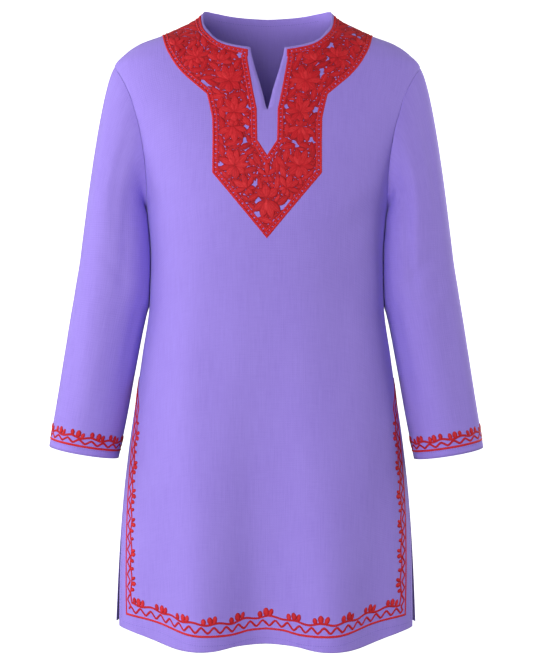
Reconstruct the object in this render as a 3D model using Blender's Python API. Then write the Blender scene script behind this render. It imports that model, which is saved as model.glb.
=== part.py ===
# Kurta tunic, worn form with nobody in it: front, back, two set-in sleeves and an embroidered yoke.
# The front faces -Y, +X is the wearer's left, +Z is up, and the origin is midway between the two
# high points of the neck, where the shoulders carry it.

import math

import bpy
import numpy as np

# Cloth, in metres
WALL = 0.0013              # woven cotton, drawn at the least wall a solid can hold
FOLD = 0.0007              # what a turned-in hem adds to the wall, on the inner side
SEAM_GAP = 0.0003          # parting between two sewn pieces
YOKE_THICKNESS = 0.0009    # dense embroidery standing on the front
SECTION_POWER = 2.5        # squareness of a level section, 2 would be an ellipse

# Slits and hem, in metres
SLIT_TOP = -0.542
HEM_SIDE = -0.867
FRONT_OPENING = 0.038      # how far the front's edge of a slit stands from the side line at the hem
BACK_OPENING = 0.013       # and the back's edge
FRONT_TUCK = 0.003         # how far the front's lower corners are drawn in
HEM_TURNING = 0.010

# Armhole: an oval in the side view
UNDERARM = -0.285
SHOULDER_POINT = -0.0795
ARMHOLE_DEPTH = 0.060      # how far it reaches forward, and back
SLEEVE_CLEARANCE = 0.0011  # between a sleeve and the side of the body

# Level sections of the body, in millimetres
# columns: height, half width, depth of the front, depth of the back
BODY_SECTIONS = [
    (-890.0, 216.0, 118.0, 125.0),
    (-780.0, 210.2, 118.0, 122.0),
    (-690.0, 203.4, 117.0, 117.0),
    (-610.0, 194.0, 115.0, 111.0),
    (-550.0, 185.0, 113.0, 103.0),
    (-490.0, 176.5, 112.0, 97.0),
    (-410.0, 166.0, 114.0, 88.0),
    (-350.0, 165.0, 121.0, 91.0),
    (-285.0, 170.5, 126.0, 97.0),
    (-220.0, 185.5, 122.0, 103.0),
    (-178.0, 200.0, 113.0, 102.0),
    (-138.0, 213.0, 101.0, 99.0),
    (-100.0, 219.0, 87.0, 92.0),
    (-79.0, 217.0, 78.0, 86.0),
    (-60.0, 200.6, 69.0, 79.0),
    (-48.0, 183.0, 62.0, 74.0),
    (-34.5, 148.0, 52.0, 66.0),
    (-7.5, 97.0, 32.0, 51.0),
    (0.0, 90.5, 27.0, 48.0),
    (8.0, 86.0, 24.0, 46.0),
]

# Sleeve sections square to its axis, in millimetres and degrees
# columns: height of the centre, centre's distance from the middle, half width, half depth, tilt
SLEEVE_SECTIONS = [
    (-290.0, 209.5, 47.0, 62.0, 4.0),
    (-350.0, 211.7, 52.3, 58.0, 5.0),
    (-400.0, 217.2, 54.6, 55.7, 7.4),
    (-420.0, 222.1, 52.9, 55.0, 8.5),
    (-494.0, 235.6, 51.5, 52.0, 10.5),
    (-560.0, 246.9, 50.8, 50.0, 10.5),
    (-623.0, 258.7, 49.7, 49.0, 9.3),
]
SLEEVE_LEVELS = [-290.0, -320.0, -350.0, -380.0, -410.0, -440.0, -470.0, -500.0, -530.0,
                 -560.0, -588.0, -612.0, -623.0]
HEAD_RINGS = 8             # rings between the armhole and the first level

# Rows of a panel's net, counted from the hem to the shoulder seam
ROW_FOLD = 1               # top of the turned hem
ROW_UNDERARM = 20          # also the yoke's lower corners and point
ROW_PLACKET = 23           # lowest point of the plain placket
ROW_NOTCH = 25             # bottom of the neck slit
ROW_CORNER = 28            # where the neck slit meets the neckline
ROW_TOP = 34

# Guide lines of the front, in millimetres, columns: row, distance from the middle, height.
# A distance past the shoulder line is brought back to the seam.
FRONT_EDGE = [             # middle of the front, neck slit and neckline
    (0, 0.0, -874.0), (1, 0.0, -864.0), (20, 0.0, -326.6), (23, 0.0, -218.5), (25, 0.0, -155.0),
    (26, 8.0, -124.0), (27, 17.0, -93.0), (28, 23.2, -63.4), (29, 43.0, -60.0),
    (30, 63.0, -53.7), (31, 78.0, -41.0), (32, 87.5, -26.5), (33, 90.6, -11.5), (34, 95.0, 0.0),
]
PLACKET_BORDER = [         # inner border of the yoke
    (0, 15.0, -874.5), (1, 15.0, -864.5), (20, 14.0, -309.8), (23, 14.0, -197.0),
    (25, 14.2, -153.0), (26, 17.8, -131.0), (27, 22.5, -103.0), (28, 26.4, -66.0),
    (29, 44.4, -62.2), (30, 64.6, -55.8), (31, 79.9, -42.8), (32, 89.4, -28.0),
    (33, 93.6, -13.0), (34, 100.0, -2.2),
]
YOKE_BORDER = [            # outer border of the yoke
    (0, 89.0, -881.0), (1, 88.5, -871.0), (20, 72.2, -240.0), (23, 72.2, -196.0),
    (25, 72.6, -169.0), (26, 75.4, -150.0), (27, 79.7, -131.5), (28, 96.0, -117.0),
    (29, 111.0, -103.6), (30, 124.0, -88.0), (31, 134.0, -72.0), (32, 140.6, -57.5),
    (33, 144.6, -39.5), (34, 160.0, -34.0),
]
BACK_EDGE = [              # middle of the back and back neckline
    (0, 0.0, -878.0), (1, 0.0, -868.0), (20, 0.0, -250.0), (28, 0.0, -0.6), (29, 22.0, 0.2),
    (30, 42.0, 1.2), (31, 59.0, 2.4), (32, 73.0, 3.4), (33, 83.5, 3.0), (34, 95.0, 0.0),
]
BACK_MIDDLE = [            # a line half way across the back
    (0, 100.0, -880.0), (1, 99.0, -870.0), (20, 88.0, -262.0), (28, 96.0, -95.0),
    (31, 110.0, -60.0), (33, 128.0, -40.0), (34, 160.0, -34.0),
]
# Share of the way from the middle line to the edge at each of the outer columns; the last
# column is the seam allowance, which is the turned edge of the slit lower down
OUTER_COLUMNS = [0.18, 0.36, 0.53, 0.69, 0.83, 0.94, 1.0]
YOKE_COLUMNS = 4           # columns between the yoke's two borders
# How soon a row levels out on its way to the side, 1 being a straight run
# columns: row, bend
ROW_BENDS = [(0, 1.9), (12, 2.2), (ROW_UNDERARM, 2.2), (27, 1.0), (ROW_TOP, 1.0)]

# Soft waves that the skirt falls in, in millimetres
# columns: distance of the wave's ridge from the middle, half width, height at the hem
FRONT_WAVES = [(94.0, 47.0, 16.0), (0.0, 47.0, -16.0), (150.0, 38.0, -9.0)]
BACK_WAVES = [(0.0, 52.0, 13.0), (66.0, 42.0, -13.0), (130.0, 46.0, 13.0)]
WAVE_TOP = -0.36           # the waves die out here

COLLECTION = "kurta_tunic"
LAVENDER = (0.300, 0.223, 0.708, 1.0)
RED = (0.566, 0.030, 0.043, 1.0)


def smooth_curve(places, values):
    """Curve through the given points that bends evenly and never swings past them."""
    places = np.asarray(places, float)
    values = np.asarray(values, float)
    step = np.diff(places)
    rise = np.diff(values) / step
    slope = np.zeros_like(values)
    slope[0] = rise[0]
    slope[-1] = rise[-1]
    for i in range(1, len(values) - 1):
        if rise[i - 1] * rise[i] > 0.0:
            before = 2.0 * step[i] + step[i - 1]
            after = step[i] + 2.0 * step[i - 1]
            slope[i] = (before + after) / (before / rise[i - 1] + after / rise[i])

    def curve(place):
        place = np.asarray(place, float)
        i = np.clip(np.searchsorted(places, place) - 1, 0, len(places) - 2)
        t = np.clip((place - places[i]) / step[i], 0.0, 1.0)
        ends = (1.0 + 2.0 * t) * (1.0 - t) ** 2 * values[i] + t * t * (3.0 - 2.0 * t) * values[i + 1]
        bends = t * (1.0 - t) ** 2 * slope[i] + t * t * (t - 1.0) * slope[i + 1]
        return ends + bends * step[i]

    return curve


def columns_of(table, scale=0.001):
    """The table's columns as curves over its first column, all in metres."""
    rows = sorted(table)
    places = [row[0] * scale for row in rows]
    return [smooth_curve(places, [row[k] * scale for row in rows]) for k in range(1, len(rows[0]))]


half_width, front_depth, back_depth = columns_of(BODY_SECTIONS)
sleeve_centre, sleeve_half, sleeve_depth, sleeve_tilt = columns_of(SLEEVE_SECTIONS)


def angle_at(x, z):
    """Angle round the level section, from 0 at the middle to a quarter turn at the side line."""
    share = np.clip(np.asarray(x) / half_width(z), 0.0, 1.0)
    return np.arcsin(share ** (SECTION_POWER / 2.0))


def slit_share(z):
    """0 above the slit, rising evenly to 1 at the hem."""
    return np.clip((SLIT_TOP - z) / (SLIT_TOP - HEM_SIDE), 0.0, 1.0)


def waves(x, z, table):
    """How far the skirt's soft waves stand out of its plain form."""
    fade = np.clip((WAVE_TOP - z) / (WAVE_TOP - HEM_SIDE), 0.0, 1.05) ** 1.7
    out = np.zeros_like(x)
    for ridge, half, height in table:
        away = np.clip(np.abs(np.abs(x) - ridge * 0.001) / (half * 0.001), 0.0, 2.0) / 2.0
        out += height * 0.001 * np.cos(away * math.pi / 2.0) ** 4
    return out * fade


def body_point(angle, z, face):
    """Point of the outer surface; face is -1 on the front and 1 on the back."""
    depth = front_depth(z) if face < 0 else back_depth(z)
    x = half_width(z) * np.sin(angle) ** (2.0 / SECTION_POWER)
    reach = depth * np.cos(angle)
    edge_fade = np.clip(np.cos(angle) * 3.0, 0.0, 1.0)
    reach = reach + waves(x, z, FRONT_WAVES if face < 0 else BACK_WAVES) * edge_fade
    if face < 0:
        x = x - FRONT_TUCK * slit_share(z) * (x / half_width(z)) ** 2
    reach = np.maximum(reach, SEAM_GAP / 2.0)
    return np.stack([x, face * reach, z], axis=-1)


def guide(table):
    """Angle and height at every row of a guide line, straight between the rows it names."""
    rows = np.arange(ROW_TOP + 1)
    named = [row[0] for row in table]
    heights = [row[2] * 0.001 for row in table]
    angles = [float(angle_at(row[1] * 0.001, row[2] * 0.001)) for row in table]
    return np.interp(rows, named, angles), np.interp(rows, named, heights)


def side_guide(face):
    """Side line up to the underarm, then round the armhole to the shoulder point."""
    below = np.interp(np.arange(ROW_UNDERARM), [0, ROW_FOLD, ROW_UNDERARM],
                      [HEM_SIDE, HEM_SIDE + HEM_TURNING, UNDERARM])
    turn = np.linspace(0.0, math.pi, ROW_TOP - ROW_UNDERARM + 1)
    middle = (UNDERARM + SHOULDER_POINT) / 2.0
    z = np.concatenate([below, middle - (SHOULDER_POINT - UNDERARM) / 2.0 * np.cos(turn)])
    opening = FRONT_OPENING if face < 0 else BACK_OPENING
    reach = np.concatenate([opening * slit_share(below), ARMHOLE_DEPTH * np.sin(turn)])
    depth = front_depth(z) if face < 0 else back_depth(z)
    return np.arccos(np.maximum(reach, SEAM_GAP / 2.0) / depth), z


def half_net(guides, face):
    """Points of one half panel, rows from the hem up and columns from the middle outwards."""
    shares = [[0.0, 1.0], [(k + 1) / YOKE_COLUMNS for k in range(YOKE_COLUMNS)], OUTER_COLUMNS]
    levelling = np.interp(np.arange(ROW_TOP + 1), *zip(*ROW_BENDS))
    angle = []
    height = []
    for (near, far), steps in zip(zip(guides[:-1], guides[1:]), shares):
        bend = levelling if steps is OUTER_COLUMNS else 1.0
        for share in steps:
            angle.append(near[0] + (far[0] - near[0]) * share)
            height.append(far[1] + (near[1] - far[1]) * (1.0 - share) ** bend)
    return body_point(np.stack(angle, axis=1), np.stack(height, axis=1), face)


def net_triangles(index, flip):
    """Two triangles for each cell of a net of point numbers."""
    a, b = index[:-1, :-1].ravel(), index[:-1, 1:].ravel()
    c, d = index[1:, 1:].ravel(), index[1:, :-1].ravel()
    triangles = np.concatenate([np.stack([a, b, c], 1), np.stack([a, c, d], 1)])
    return triangles[:, ::-1] if flip else triangles


def mirrored_net(half, joined_rows, face):
    """Both halves of a panel as one net, which share the middle column up to joined_rows."""
    count = half.shape[0] * half.shape[1]
    right = np.arange(count).reshape(half.shape[:2])
    left = right + count
    left[:joined_rows + 1, 0] = right[:joined_rows + 1, 0]
    points = np.concatenate([half.reshape(-1, 3), half.reshape(-1, 3) * [-1.0, 1.0, 1.0]])
    return points, right, left


def surface_normals(points, triangles):
    """Outward direction at each point, averaged over the triangles that meet there."""
    corner = points[triangles]
    facing = np.cross(corner[:, 1] - corner[:, 0], corner[:, 2] - corner[:, 0])
    normals = np.zeros_like(points)
    for k in range(3):
        np.add.at(normals, triangles[:, k], facing)
    return normals / np.maximum(np.linalg.norm(normals, axis=1, keepdims=True), 1e-12)


def wall_solid(name, material, outer, inner, triangles):
    """Closed wall between an outer and an inner surface, with a rim along their open edges."""
    used = np.unique(triangles)
    number = np.zeros(len(outer), int)
    number[used] = np.arange(len(used))
    skin = number[triangles]
    edges = np.concatenate([skin[:, [0, 1]], skin[:, [1, 2]], skin[:, [2, 0]]])
    known = {tuple(edge) for edge in edges.tolist()}
    rim = np.array([edge for edge in edges.tolist() if (edge[1], edge[0]) not in known])
    below = len(used)
    faces = np.concatenate([
        skin,
        skin[:, ::-1] + below,
        np.stack([rim[:, 1], rim[:, 0], rim[:, 0] + below], 1),
        np.stack([rim[:, 1], rim[:, 0] + below, rim[:, 1] + below], 1),
    ])
    mesh = bpy.data.meshes.new(name)
    mesh.from_pydata(np.concatenate([outer[used], inner[used]]).tolist(), [], faces.tolist())
    mesh.update()
    mesh.materials.append(material)
    body = bpy.data.objects.new(name, mesh)
    bpy.data.collections[COLLECTION].objects.link(body)
    mesh.shade_smooth()
    mesh.set_sharp_from_angle(angle=math.radians(40.0))
    return body


def seam_normals(normals, index):
    """Square to the seam, so that two pieces that meet there share one direction."""
    rows = index.ravel()
    normals[rows, 1] = 0.0
    normals[rows] /= np.linalg.norm(normals[rows], axis=1, keepdims=True)


def make_panel(name, material, guides, joined_rows, face):
    """Front or back; returns its net, its outward directions and its armhole."""
    half = half_net(guides, face)
    points, right, left = mirrored_net(half, joined_rows, face)
    flip = face > 0
    triangles = np.concatenate([net_triangles(right, flip), net_triangles(left, not flip)])
    normals = surface_normals(points, triangles)
    sewn = half[:ROW_UNDERARM + 1, -1, 2] > SLIT_TOP
    for net in (right, left):
        seam_normals(normals, net[:ROW_UNDERARM + 1, -1][sewn])
        seam_normals(normals, net[ROW_TOP, :])
    wall = np.full(half.shape[:2], WALL)
    wall[:ROW_FOLD + 1, :] += FOLD
    turned = (half[:, -1, 2] < SLIT_TOP) & (np.arange(ROW_TOP + 1) > ROW_FOLD)
    wall[turned, -2:] += FOLD
    wall = np.concatenate([wall.ravel(), wall.ravel()])[:, None]
    wall_solid(name, material, points, points - normals * wall, triangles)
    armhole = right[ROW_UNDERARM:, -1]
    return points, normals, right, left, points[armhole], normals[armhole]


def make_yoke(material, points, normals, right, left):
    """Embroidered yoke: the front's own points moved out, round the neck and down to its point."""
    inner = 1
    outer = 1 + YOKE_COLUMNS
    triangles = []
    for net, flip in ((right, False), (left, True)):
        triangles.append(net_triangles(net[ROW_PLACKET:, inner:outer + 1], flip))
        triangles.append(net_triangles(net[ROW_UNDERARM:ROW_PLACKET + 1, :outer + 1], flip))
    base = points + normals * SEAM_GAP
    top = points + normals * (SEAM_GAP + YOKE_THICKNESS)
    wall_solid("neck_embroidery", material, top, base, np.concatenate(triangles))


def armhole_ring(front, back, front_normals, back_normals):
    """The armhole's points once round: shoulder, front, underarm, back, with their directions."""
    ring = np.concatenate([front[::-1], back[1:-1]])
    facing = np.concatenate([front_normals[::-1], back_normals[1:-1]])
    for corner in (0, ROW_TOP - ROW_UNDERARM):
        ring[corner, 1] = 0.0
    along = np.roll(ring, -1, axis=0) - np.roll(ring, 1, axis=0)
    away = np.cross(facing, along)
    away /= np.linalg.norm(away, axis=1, keepdims=True)
    return ring + away * SEAM_GAP, facing


def sleeve_ring(z, turn):
    """Section of the sleeve square to its axis, kept clear of the side of the body."""
    tilt = math.radians(float(sleeve_tilt(z)) * 1000.0)
    across = float(sleeve_half(z)) * np.cos(turn)
    forward = -float(sleeve_depth(z)) * np.sin(turn)
    x = float(sleeve_centre(z)) + across * math.cos(tilt)
    height = z + across * math.sin(tilt)
    depth = np.where(forward < 0.0, front_depth(height), back_depth(height))
    side = half_width(height) * (1.0 - (forward / depth) ** 2) ** (1.0 / SECTION_POWER)
    return np.stack([np.maximum(x, side + SLEEVE_CLEARANCE), forward, height], axis=1)


def make_sleeve(name, material, ring, facing, side):
    """Sleeve from the armhole to the cuff; side is 1 at the wearer's left and -1 at the right."""
    count = len(ring)
    turn = np.arange(count) * 2.0 * math.pi / count
    levels = [sleeve_ring(z * 0.001, turn) for z in SLEEVE_LEVELS]
    top = (1.0 + np.cos(turn)) / 2.0
    leave = np.stack([0.65 - 0.10 * np.cos(turn), -0.15 * np.sin(turn),
                      -0.345 - 0.74 * np.cos(turn) + 0.255 * np.cos(2.0 * turn)], axis=1)
    leave /= np.linalg.norm(leave, axis=1, keepdims=True)
    arrive = levels[1] - levels[0]
    arrive /= np.linalg.norm(arrive, axis=1, keepdims=True)
    near = ring + leave * (0.007 + 0.023 * top ** 0.7)[:, None]
    far = levels[0] - arrive * (0.006 + 0.080 * top)[:, None]
    rings = []
    for k in range(HEAD_RINGS):
        t = k / HEAD_RINGS
        rings.append((1 - t) ** 3 * ring + 3 * t * (1 - t) ** 2 * near
                     + 3 * t * t * (1 - t) * far + t ** 3 * levels[0])
    net = np.stack(rings + levels)
    index = np.arange(net.shape[0] * count).reshape(net.shape[:2])
    index = np.concatenate([index, index[:, :1]], axis=1)
    points = net.reshape(-1, 3)
    triangles = net_triangles(index, False)
    normals = surface_normals(points, triangles)
    normals[:count] = facing
    wall = np.full(net.shape[:2], WALL)
    wall[-2:] += FOLD
    inner = points - normals * wall.reshape(-1, 1)
    mirror = np.array([side, 1.0, 1.0])
    if side < 0:
        triangles = triangles[:, ::-1]
    wall_solid(name, material, points * mirror, inner * mirror, triangles)


def plain_material(name, colour, roughness):
    """Principled finish of one piece."""
    material = bpy.data.materials.new(name)
    material.use_nodes = True
    shader = material.node_tree.nodes["Principled BSDF"]
    shader.inputs["Base Color"].default_value = colour
    shader.inputs["Roughness"].default_value = roughness
    shader.inputs["Metallic"].default_value = 0.0
    return material


def build():
    """All the pieces of the tunic."""
    for old in list(bpy.data.objects):
        bpy.data.objects.remove(old, do_unlink=True)
    bpy.context.scene.collection.children.link(bpy.data.collections.new(COLLECTION))
    front_guides = [guide(FRONT_EDGE), guide(PLACKET_BORDER), guide(YOKE_BORDER), side_guide(-1)]
    points, normals, right, left, front_arm, front_facing = make_panel(
        "front", plain_material("front_cotton", LAVENDER, 0.9), front_guides, ROW_NOTCH, -1)
    make_yoke(plain_material("yoke_thread", RED, 0.6), points, normals, right, left)
    edge = guide(BACK_EDGE)
    middle = guide(BACK_MIDDLE)
    first = tuple(near + (far - near) * 0.17 for near, far in zip(edge, middle))
    back_guides = [edge, first, middle, side_guide(1)]
    back = make_panel("back", plain_material("back_cotton", LAVENDER, 0.9),
                      back_guides, ROW_CORNER, 1)
    ring, facing = armhole_ring(front_arm, back[4], front_facing, back[5])
    for name, side in (("sleeve_left", 1), ("sleeve_right", -1)):
        make_sleeve(name, plain_material(name + "_cotton", LAVENDER, 0.9), ring, facing, side)


build()
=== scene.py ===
import math

import bmesh
import bpy
import numpy as np
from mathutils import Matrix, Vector


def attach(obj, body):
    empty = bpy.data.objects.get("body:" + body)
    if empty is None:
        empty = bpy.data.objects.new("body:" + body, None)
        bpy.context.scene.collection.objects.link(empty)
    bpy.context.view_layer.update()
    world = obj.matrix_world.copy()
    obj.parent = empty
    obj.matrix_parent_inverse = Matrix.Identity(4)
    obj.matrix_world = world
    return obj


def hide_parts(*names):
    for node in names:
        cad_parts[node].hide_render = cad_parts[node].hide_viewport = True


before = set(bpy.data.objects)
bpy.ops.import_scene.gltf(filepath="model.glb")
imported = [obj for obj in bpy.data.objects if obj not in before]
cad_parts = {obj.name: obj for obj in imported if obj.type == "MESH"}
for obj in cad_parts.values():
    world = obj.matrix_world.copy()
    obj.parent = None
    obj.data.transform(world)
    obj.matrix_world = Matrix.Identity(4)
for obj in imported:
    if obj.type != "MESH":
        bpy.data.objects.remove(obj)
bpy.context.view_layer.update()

# Camera: straight at the front, turned a sixth of a degree about its own axis, as the picture was taken
cameraSet = {"side": -0.0002, "distance": 2.0, "height": -0.4551, "roll": -0.16,
             "lens": 76.13, "sensor": 36.0}


def makeCamera(s):
    data = bpy.data.cameras.new("camera")
    data.lens = s["lens"]
    data.sensor_width = s["sensor"]
    camera = bpy.data.objects.new("camera", data)
    camera.location = (s["side"], -s["distance"], s["height"])
    camera.rotation_euler = (math.pi / 2, math.radians(s["roll"]), 0.0)
    bpy.context.scene.collection.objects.link(camera)
    bpy.context.scene.camera = camera


makeCamera(cameraSet)
print("camera set")

# Form of the tunic, the same sections as its solids, in millimetres
bodyForm = {
    "power": 2.5,
    # height, half width, depth of the front, depth of the back
    "sections": [
        (-890.0, 216.0, 118.0, 125.0), (-780.0, 210.2, 118.0, 122.0), (-690.0, 203.4, 117.0, 117.0),
        (-610.0, 194.0, 115.0, 111.0), (-550.0, 185.0, 113.0, 103.0), (-490.0, 176.5, 112.0, 97.0),
        (-410.0, 166.0, 114.0, 88.0), (-350.0, 165.0, 121.0, 91.0), (-285.0, 170.5, 126.0, 97.0),
        (-220.0, 185.5, 122.0, 103.0), (-178.0, 200.0, 113.0, 102.0), (-138.0, 213.0, 101.0, 99.0),
        (-100.0, 219.0, 87.0, 92.0), (-79.0, 217.0, 78.0, 86.0), (-60.0, 200.6, 69.0, 79.0),
        (-48.0, 183.0, 62.0, 74.0), (-34.5, 148.0, 52.0, 66.0), (-7.5, 97.0, 32.0, 51.0),
        (0.0, 90.5, 27.0, 48.0), (8.0, 86.0, 24.0, 46.0),
    ],
    "slitTop": -542.0, "hemSide": -867.0, "frontOpening": 35.5, "backOpening": 13.0, "frontTuck": 2.2,
    # creases die out within a third of the armhole's size outside its seam
    "underarm": -285.0, "shoulderPoint": -79.5, "armholeDepth": 60.0, "creaseFade": 0.35,
    # soft waves of the skirt: distance of the ridge from the middle, half width, height at the hem
    "frontWaves": [(94.0, 47.0, 16.0), (0.0, 47.0, -16.0), (150.0, 38.0, -9.0)],
    "backWaves": [(0.0, 52.0, 13.0), (66.0, 42.0, -13.0), (130.0, 46.0, 13.0)],
    "waveTop": -360.0,
}
sleeveForm = {
    # height of the centre, its distance from the middle, half width, half depth, tilt in degrees
    "sections": [
        (-290.0, 209.5, 47.0, 62.0, 4.0), (-350.0, 211.7, 52.3, 58.0, 5.0),
        (-400.0, 217.2, 54.6, 55.7, 7.4), (-420.0, 222.1, 52.9, 55.0, 8.5),
        (-494.0, 235.6, 51.5, 52.0, 10.5), (-560.0, 246.9, 50.8, 50.0, 10.5),
        (-623.0, 258.7, 49.7, 49.0, 9.3),
    ],
    # the cuff sags a little away from its outer line
    "top": -290.0, "cuff": -623.0, "clearance": 1.1, "cuffSag": 1.9, "sagHigh": 100.0, "girth": 310.0,
    # handles of the head's curves: shortest, how much longer at the shoulder, and how that fades;
    # the far ones point along the sleeve, whose direction is taken over the level step
    "nearHandle": (7.0, 18.0, 0.7), "farHandle": (6.0, 80.0), "levelStep": 30.0,
    # direction in which the cloth leaves the armhole, as factors of 1, cos, sin and cos of the double turn
    "leaveSide": (0.65, -0.10), "leaveForward": -0.15, "leaveUp": (-0.345, -0.74, 0.255),
}


def smoothCurve(places, values):
    # Curve through the points that bends evenly and never swings past them: cubic pieces whose
    # slope at a point is the weighted harmonic mean of the slopes on its two sides
    places, values = np.asarray(places, float), np.asarray(values, float)
    step = np.diff(places)
    rise = np.diff(values) / step
    slope = np.zeros_like(values)
    slope[0], slope[-1] = rise[0], rise[-1]
    before, after = 2 * step[1:] + step[:-1], step[1:] + 2 * step[:-1]
    same = rise[:-1] * rise[1:] > 0
    safe = np.where(rise == 0, 1.0, rise)
    slope[1:-1] = np.where(same, (before + after) / (before / safe[:-1] + after / safe[1:]), 0.0)

    def curve(place):
        place = np.asarray(place, float)
        i = np.clip(np.searchsorted(places, place) - 1, 0, len(places) - 2)
        t = np.clip((place - places[i]) / step[i], 0.0, 1.0)
        ends = (1 + 2 * t) * (1 - t) ** 2 * values[i] + t * t * (3 - 2 * t) * values[i + 1]
        return ends + (t * (1 - t) ** 2 * slope[i] + t * t * (t - 1) * slope[i + 1]) * step[i]

    return curve


def tableCurves(table):
    rows = sorted(table)
    places = [row[0] / 1000 for row in rows]
    return [smoothCurve(places, [row[k] / 1000 for row in rows]) for k in range(1, len(rows[0]))]


halfWidth, frontDepth, backDepth = tableCurves(bodyForm["sections"])
# a face is -1 for the front and 1 for the back
faceName = {-1: "front", 1: "back"}
faceDepth = {-1: frontDepth, 1: backDepth}
sleeveCentre, sleeveHalf, sleeveDepth, sleeveTilt = tableCurves(sleeveForm["sections"])


def inMetres(name):
    return bodyForm[name] / 1000


armholeMiddle = (inMetres("underarm") + inMetres("shoulderPoint")) / 2
armholeHalf = (inMetres("shoulderPoint") - inMetres("underarm")) / 2


def slitOpening(face):
    return inMetres(faceName[face] + "Opening")


def lengthsAlong(points):
    # Length from the first point of each row to every point of it
    steps = np.linalg.norm(np.diff(points, axis=-2), axis=-1)
    return np.concatenate([np.zeros(steps.shape[:-1] + (1,)), np.cumsum(steps, axis=-1)], axis=-1)


def bell(away, wide):
    # 1 at no distance, fading out smoothly; the width is in millimetres
    return np.exp(-(away / (wide / 1000)) ** 2)


def angleAt(x, z):
    # Angle round the level section: 0 at the middle, a quarter turn at the side line
    share = np.clip(np.abs(x) / halfWidth(z), 0.0, 1.0)
    return np.arcsin(share ** (bodyForm["power"] / 2))


def slitShare(z):
    return np.clip((inMetres("slitTop") - z) / (inMetres("slitTop") - inMetres("hemSide")), 0.0, 1.0)


def skirtWaves(x, z, table):
    # Each wave is the fourth power of a cosine across, and grows from the waist to the hem
    top, low = inMetres("waveTop"), inMetres("hemSide")
    fade = np.clip((top - z) / (top - low), 0.0, 1.05) ** 1.7
    out = np.zeros_like(x)
    for ridge, half, height in table:
        away = np.clip(np.abs(np.abs(x) - ridge / 1000) / (half / 1000), 0.0, 2.0) / 2
        out = out + height / 1000 * np.cos(away * math.pi / 2) ** 4
    return out * fade


# Creases, listed one by one, in millimetres. Each row: distance from the middle and height at its start,
# the same at its end, half width, and rise, which is negative for a trough
creaseSet = {
    "front": [
        (-196, -120, -172, -205, 9, -2.2), (190, -112, 165, -215, 10, -2.6),
        (-178, -250, -120, -300, 13, -1.6), (168, -262, 96, -335, 16, -2.4),
        (150, -238, 84, -300, 15, 1.6), (-150, -300, -128, -520, 17, -1.5),
        (-62, -330, -74, -640, 22, -1.7), (-112, -420, -120, -760, 20, 1.6),
        (44, -350, 58, -700, 24, 1.5), (104, -330, 96, -560, 18, -1.8),
        (150, -400, 172, -720, 18, -2.0), (130, -520, 140, -800, 14, 1.4),
        (-24, -520, -18, -840, 20, -1.4), (-168, -560, -186, -820, 12, -1.3),
    ],
    "back": [
        (-186, -118, -150, -230, 12, -2.4), (182, -110, 148, -222, 13, -2.6),
        (-70, -130, -40, -330, 20, 1.6), (66, -150, 84, -300, 18, -1.7),
        (-120, -300, -60, -390, 14, -2.4), (124, -310, 50, -372, 13, -2.1),
        (-90, -350, -20, -420, 12, 1.8), (20, -330, 96, -430, 14, -1.8),
        (-34, -430, -44, -740, 18, -1.8), (96, -440, 104, -700, 17, 1.6),
        (150, -500, 168, -800, 13, -1.6), (-140, -470, -160, -780, 15, -1.7),
    ],
    # on a sleeve the first and third values are turns from its outer line, in degrees
    "sleeve_left": [
        (40, -110, 62, -330, 9, -1.7), (84, -170, 98, -360, 9, 1.6), (118, -230, 100, -420, 8, -2.0),
        (60, -330, 120, -400, 10, -1.8), (30, -380, 104, -440, 9, 1.3), (70, -430, 52, -590, 12, -1.3),
        (150, -330, 140, -560, 10, -1.5), (250, -180, 236, -400, 10, -1.8),
        (290, -320, 220, -410, 11, -2.0), (262, -430, 280, -600, 12, 1.4), (320, -120, 300, -300, 10, -1.4),
    ],
    "sleeve_right": [
        (34, -120, 54, -300, 10, 1.3), (76, -150, 92, -330, 9, -1.6), (110, -250, 104, -440, 9, -1.7),
        (64, -340, 118, -392, 9, -1.5), (48, -400, 60, -580, 12, -1.4), (96, -440, 84, -600, 11, 1.2),
        (146, -320, 138, -540, 10, -1.6), (246, -200, 230, -420, 11, -1.9),
        (284, -350, 214, -430, 11, -1.7), (300, -420, 290, -600, 12, 1.3), (318, -130, 296, -290, 9, -1.3),
    ],
}


def creases(a, b, table):
    # Height of all creases at (a, b): a bell across each line, fading out to both its ends
    out = np.zeros(np.broadcast(a, b).shape)
    for a0, b0, a1, b1, half, rise in table:
        da, db = (a1 - a0) / 1000, (b1 - b0) / 1000
        pa, pb = a - a0 / 1000, b - b0 / 1000
        size = math.hypot(da, db)
        along = (pa * da + pb * db) / size ** 2
        across = (pa * db - pb * da) / size
        ends = np.sin(np.clip(along, 0.0, 1.0) * math.pi) ** 0.8
        out = out + rise / 1000 * ends * bell(across, half)
    return out


def bodyPlain(angle, z, face):
    # Section x = w sin(a)^(2/p), y = d cos(a): the rounded outline |x/w|^p + (y/d)^2 = 1.
    # The skirt's waves die out over the last third of the depth, towards the side line.
    x = halfWidth(z) * np.sign(angle) * np.abs(np.sin(angle)) ** (2 / bodyForm["power"])
    waves = skirtWaves(x, z, bodyForm[faceName[face] + "Waves"])
    reach = faceDepth[face](z) * np.cos(angle) + waves * np.clip(np.cos(angle) * 3, 0.0, 1.0)
    if face < 0:
        x = x - np.sign(x) * inMetres("frontTuck") * slitShare(z) * (x / halfWidth(z)) ** 2
    return np.stack(np.broadcast_arrays(x, face * reach, z), axis=-1)


def outward(point, a, b, flip):
    # Direction square to a surface given as point(a, b), from its two partial differences
    h = 2e-4
    da = point(a + h, b) - point(a - h, b)
    db = point(a, b + h) - point(a, b - h)
    n = np.cross(da, db) * flip
    return n / np.maximum(np.linalg.norm(n, axis=-1, keepdims=True), 1e-12)


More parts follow.
